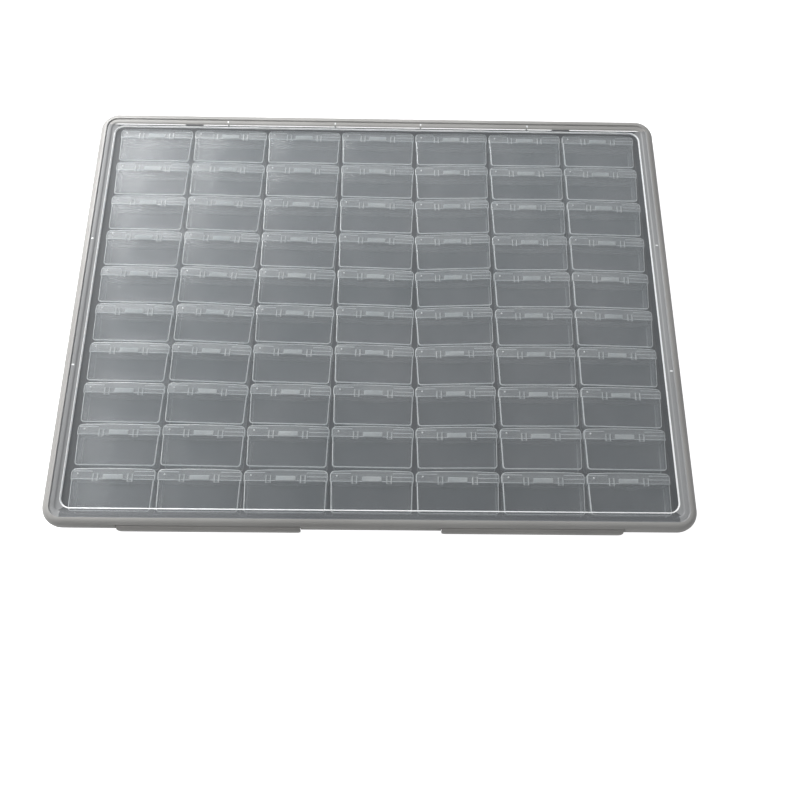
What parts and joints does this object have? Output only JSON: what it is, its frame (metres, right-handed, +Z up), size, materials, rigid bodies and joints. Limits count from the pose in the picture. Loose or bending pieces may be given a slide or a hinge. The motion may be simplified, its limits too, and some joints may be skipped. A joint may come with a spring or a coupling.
{
  "type": "hinged bead case",
  "caption": "Thin hinged translucent case with a recessed clear panel and two front latches, packed with rows of small flip-lid bead boxes lying flat.",
  "frame": {"origin": "centre of the bounding box at the flat underside", "axes": "+X along the width, +Y towards the hinge at the back, +Z up"},
  "size_m": [0.388, 0.2932, 0.0184],
  "materials": {
    "tray_plastic": "satin translucent",
    "lid_plastic": "clear gloss",
    "latch_plastic": "translucent satin",
    "box_plastic": "clear gloss",
    "flip_plastic": "clear gloss"
  },
  "bodies": {
    "case": {"case_tray": "tray_plastic", "box_r2_c1": "box_plastic", "flip_lid_r2_c1": "flip_plastic", "box_r2_c2": "box_plastic", "flip_lid_r2_c2": "flip_plastic", "box_r2_c3": "box_plastic", "flip_lid_r2_c3": "flip_plastic", "box_r2_c4": "box_plastic", "flip_lid_r2_c4": "flip_plastic", "box_r2_c5": "box_plastic", "flip_lid_r2_c5": "flip_plastic", "box_r2_c6": "box_plastic", "flip_lid_r2_c6": "flip_plastic", "box_r2_c7": "box_plastic", "flip_lid_r2_c7": "flip_plastic", "box_r3_c1": "box_plastic", "flip_lid_r3_c1": "flip_plastic", "box_r3_c2": "box_plastic", "flip_lid_r3_c2": "flip_plastic", "box_r3_c3": "box_plastic", "flip_lid_r3_c3": "flip_plastic", "box_r3_c4": "box_plastic", "flip_lid_r3_c4": "flip_plastic", "box_r3_c5": "box_plastic", "flip_lid_r3_c5": "flip_plastic", "box_r3_c6": "box_plastic", "flip_lid_r3_c6": "flip_plastic", "box_r3_c7": "box_plastic", "flip_lid_r3_c7": "flip_plastic", "boxes_row_4": "box_plastic", "flip_lids_row_4": "flip_plastic", "boxes_row_5": "box_plastic", "flip_lids_row_5": "flip_plastic", "boxes_row_6": "box_plastic", "flip_lids_row_6": "flip_plastic", "boxes_row_7": "box_plastic", "flip_lids_row_7": "flip_plastic", "boxes_row_8": "box_plastic", "flip_lids_row_8": "flip_plastic", "boxes_row_9": "box_plastic", "flip_lids_row_9": "flip_plastic", "boxes_row_10": "box_plastic", "flip_lids_row_10": "flip_plastic"},
    "lid": {"case_lid": "lid_plastic"},
    "left_latch": {"latch_left": "latch_plastic"},
    "right_latch": {"latch_right": "latch_plastic"},
    "front_box_1": {"box_r1_c1": "box_plastic"},
    "front_flip_1": {"flip_lid_r1_c1": "flip_plastic"},
    "front_box_2": {"box_r1_c2": "box_plastic"},
    "front_flip_2": {"flip_lid_r1_c2": "flip_plastic"},
    "front_box_3": {"box_r1_c3": "box_plastic"},
    "front_flip_3": {"flip_lid_r1_c3": "flip_plastic"},
    "front_box_4": {"box_r1_c4": "box_plastic"},
    "front_flip_4": {"flip_lid_r1_c4": "flip_plastic"},
    "front_box_5": {"box_r1_c5": "box_plastic"},
    "front_flip_5": {"flip_lid_r1_c5": "flip_plastic"},
    "front_box_6": {"box_r1_c6": "box_plastic"},
    "front_flip_6": {"flip_lid_r1_c6": "flip_plastic"},
    "front_box_7": {"box_r1_c7": "box_plastic"},
    "front_flip_7": {"flip_lid_r1_c7": "flip_plastic"}
  },
  "joints": [
    {"name": "case_lid_hinge", "type": "hinge", "parent": "case", "child": "lid", "pos_m": [0, 0.1426, 0.0116], "axis": [-1, 0, 0], "range_deg": [0, 108]},
    {"name": "left_latch_hinge", "type": "hinge", "parent": "lid", "child": "left_latch", "pos_m": [-0.09545, -0.1441, 0.0142], "axis": [-1, 0, 0], "range_deg": [0, 75]},
    {"name": "right_latch_hinge", "type": "hinge", "parent": "lid", "child": "right_latch", "pos_m": [0.09545, -0.1441, 0.0142], "axis": [-1, 0, 0], "range_deg": [0, 75]},
    {"name": "front_box_1_lift", "type": "slide", "parent": "case", "child": "front_box_1", "axis": [0, 0, 1], "range_m": [0, 0.1]},
    {"name": "front_flip_1_hinge", "type": "hinge", "parent": "front_box_1", "child": "front_flip_1", "pos_m": [-0.1551, -0.11665, 0.0025], "axis": [-1, 0, 0], "range_deg": [0, 108]},
    {"name": "front_box_2_lift", "type": "slide", "parent": "case", "child": "front_box_2", "axis": [0, 0, 1], "range_m": [0, 0.1]},
    {"name": "front_flip_2_hinge", "type": "hinge", "parent": "front_box_2", "child": "front_flip_2", "pos_m": [-0.1034, -0.11665, 0.0025], "axis": [-1, 0, 0], "range_deg": [0, 108]},
    {"name": "front_box_3_lift", "type": "slide", "parent": "case", "child": "front_box_3", "axis": [0, 0, 1], "range_m": [0, 0.1]},
    {"name": "front_flip_3_hinge", "type": "hinge", "parent": "front_box_3", "child": "front_flip_3", "pos_m": [-0.0517, -0.11665, 0.0025], "axis": [-1, 0, 0], "range_deg": [0, 108]},
    {"name": "front_box_4_lift", "type": "slide", "parent": "case", "child": "front_box_4", "axis": [0, 0, 1], "range_m": [0, 0.1]},
    {"name": "front_flip_4_hinge", "type": "hinge", "parent": "front_box_4", "child": "front_flip_4", "pos_m": [0, -0.11665, 0.0025], "axis": [-1, 0, 0], "range_deg": [0, 108]},
    {"name": "front_box_5_lift", "type": "slide", "parent": "case", "child": "front_box_5", "axis": [0, 0, 1], "range_m": [0, 0.1]},
    {"name": "front_flip_5_hinge", "type": "hinge", "parent": "front_box_5", "child": "front_flip_5", "pos_m": [0.0517, -0.11665, 0.0025], "axis": [-1, 0, 0], "range_deg": [0, 108]},
    {"name": "front_box_6_lift", "type": "slide", "parent": "case", "child": "front_box_6", "axis": [0, 0, 1], "range_m": [0, 0.1]},
    {"name": "front_flip_6_hinge", "type": "hinge", "parent": "front_box_6", "child": "front_flip_6", "pos_m": [0.1034, -0.11665, 0.0025], "axis": [-1, 0, 0], "range_deg": [0, 108]},
    {"name": "front_box_7_lift", "type": "slide", "parent": "case", "child": "front_box_7", "axis": [0, 0, 1], "range_m": [0, 0.1]},
    {"name": "front_flip_7_hinge", "type": "hinge", "parent": "front_box_7", "child": "front_flip_7", "pos_m": [0.1551, -0.11665, 0.0025], "axis": [-1, 0, 0], "range_deg": [0, 108]}
  ],
  "couplings": [
    {"joint": "front_box_1_lift", "follows": "case_lid_hinge", "m_per_rad": 0.05305},
    {"joint": "front_flip_1_hinge", "follows": "case_lid_hinge", "ratio": 1},
    {"joint": "front_box_2_lift", "follows": "case_lid_hinge", "m_per_rad": 0.05305},
    {"joint": "front_flip_2_hinge", "follows": "case_lid_hinge", "ratio": 1},
    {"joint": "front_box_3_lift", "follows": "case_lid_hinge", "m_per_rad": 0.05305},
    {"joint": "front_flip_3_hinge", "follows": "case_lid_hinge", "ratio": 1},
    {"joint": "front_box_4_lift", "follows": "case_lid_hinge", "m_per_rad": 0.05305},
    {"joint": "front_flip_4_hinge", "follows": "case_lid_hinge", "ratio": 1},
    {"joint": "front_box_5_lift", "follows": "case_lid_hinge", "m_per_rad": 0.05305},
    {"joint": "front_flip_5_hinge", "follows": "case_lid_hinge", "ratio": 1},
    {"joint": "front_box_6_lift", "follows": "case_lid_hinge", "m_per_rad": 0.05305},
    {"joint": "front_flip_6_hinge", "follows": "case_lid_hinge", "ratio": 1},
    {"joint": "front_box_7_lift", "follows": "case_lid_hinge", "m_per_rad": 0.05305},
    {"joint": "front_flip_7_hinge", "follows": "case_lid_hinge", "ratio": 1}
  ]
}
